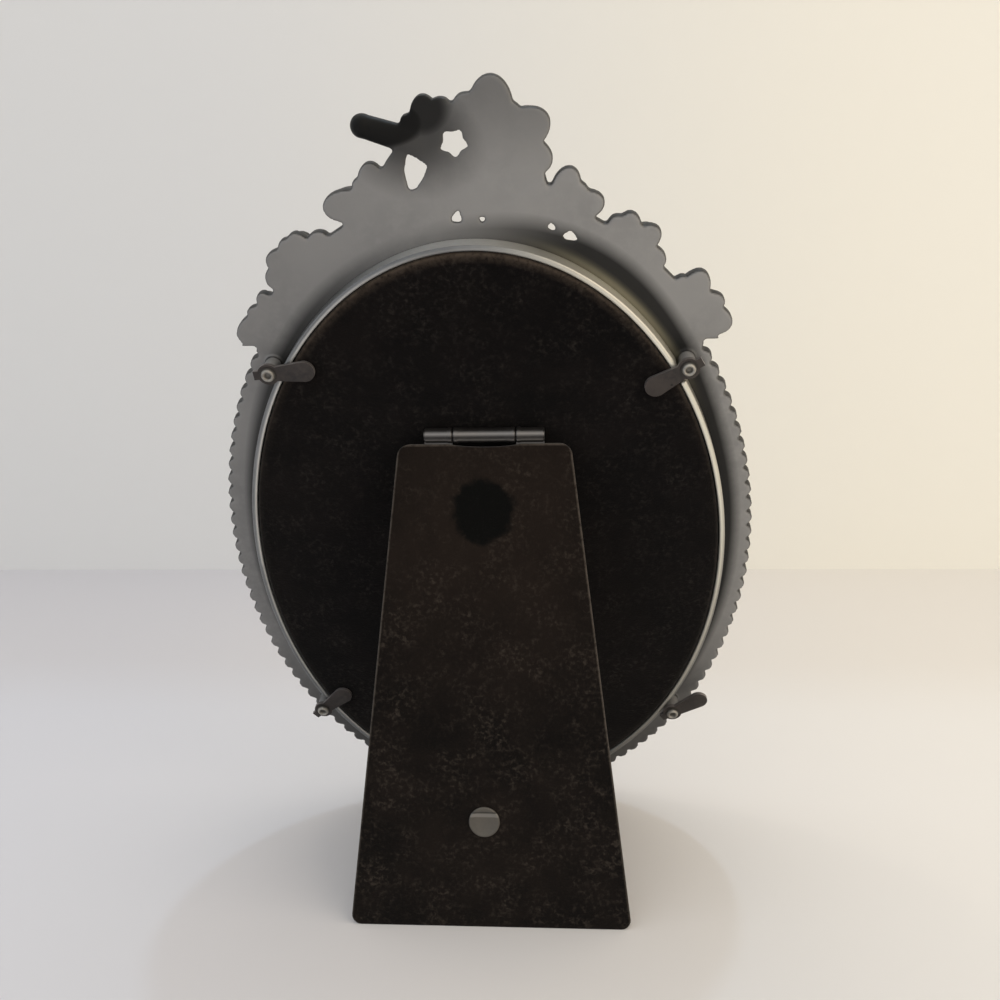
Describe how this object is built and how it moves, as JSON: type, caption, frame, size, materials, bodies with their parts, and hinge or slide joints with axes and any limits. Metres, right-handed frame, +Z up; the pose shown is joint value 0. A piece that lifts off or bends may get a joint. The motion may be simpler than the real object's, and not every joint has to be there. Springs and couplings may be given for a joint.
{
  "type": "oval picture frame",
  "caption": "Oval table picture frame with a beaded edge and vine-leaf crest, standing on a folding velvet leg, its back held by turn buttons.",
  "frame": {"origin": "on the table, in the middle of the standing frame's width and depth", "axes": "+Z up, the picture's front towards -Y, the frame's width along X"},
  "size_m": [0.112, 0.0664, 0.1619],
  "materials": {
    "cast_metal": "dull grey cast white metal, satin",
    "strip_metal": "aged plated strip, satin",
    "dark_steel": "stamped, darkened with age",
    "dull_steel": "dull plated",
    "clear_glass": "polished",
    "paper": "matte paper, blank",
    "grey_card": "pressed grey board",
    "black_velvet": "short black velvet pile",
    "brown_velvet": "worn brownish black velvet",
    "black_paper": "matte black lining paper"
  },
  "bodies": {
    "frame": {"frame_casting": "cast_metal", "retaining_band": "strip_metal", "glass_pane": "clear_glass", "photo_card": "paper", "filler_card": "grey_card", "back_board": "grey_card", "back_velvet": "black_velvet", "hinge_back_leaf": "dark_steel", "hinge_pin": "dark_steel", "button_rivet_1": "dull_steel", "button_rivet_2": "dull_steel", "button_rivet_3": "dull_steel", "button_rivet_4": "dull_steel"},
    "leg": {"leg_core": "grey_card", "leg_velvet": "brown_velvet", "leg_lining": "black_paper", "hinge_leg_leaf": "dark_steel", "leg_rivet": "dull_steel"},
    "button_1": {"turn_button_1": "dark_steel"},
    "button_2": {"turn_button_2": "dark_steel"},
    "button_3": {"turn_button_3": "dark_steel"},
    "button_4": {"turn_button_4": "dark_steel"}
  },
  "joints": [
    {"name": "leg_fold", "type": "hinge", "parent": "frame", "child": "leg", "pos_m": [-0.001, 0.01469, 0.09882], "axis": [1, 0, 0], "range_deg": [-28, 0]},
    {"name": "button_1_turn", "type": "hinge", "parent": "frame", "child": "button_1", "pos_m": [0.03969, 0.01835, 0.11167], "axis": [0, 0.9304, -0.3665], "continuous": true},
    {"name": "button_2_turn", "type": "hinge", "parent": "frame", "child": "button_2", "pos_m": [-0.03969, 0.01835, 0.11167], "axis": [0, 0.9304, -0.3665], "continuous": true},
    {"name": "button_3_turn", "type": "hinge", "parent": "frame", "child": "button_3", "pos_m": [0.04135, -0.01415, 0.02918], "axis": [0, 0.9304, -0.3665], "continuous": true},
    {"name": "button_4_turn", "type": "hinge", "parent": "frame", "child": "button_4", "pos_m": [-0.04135, -0.01415, 0.02918], "axis": [0, 0.9304, -0.3665], "continuous": true}
  ]
}
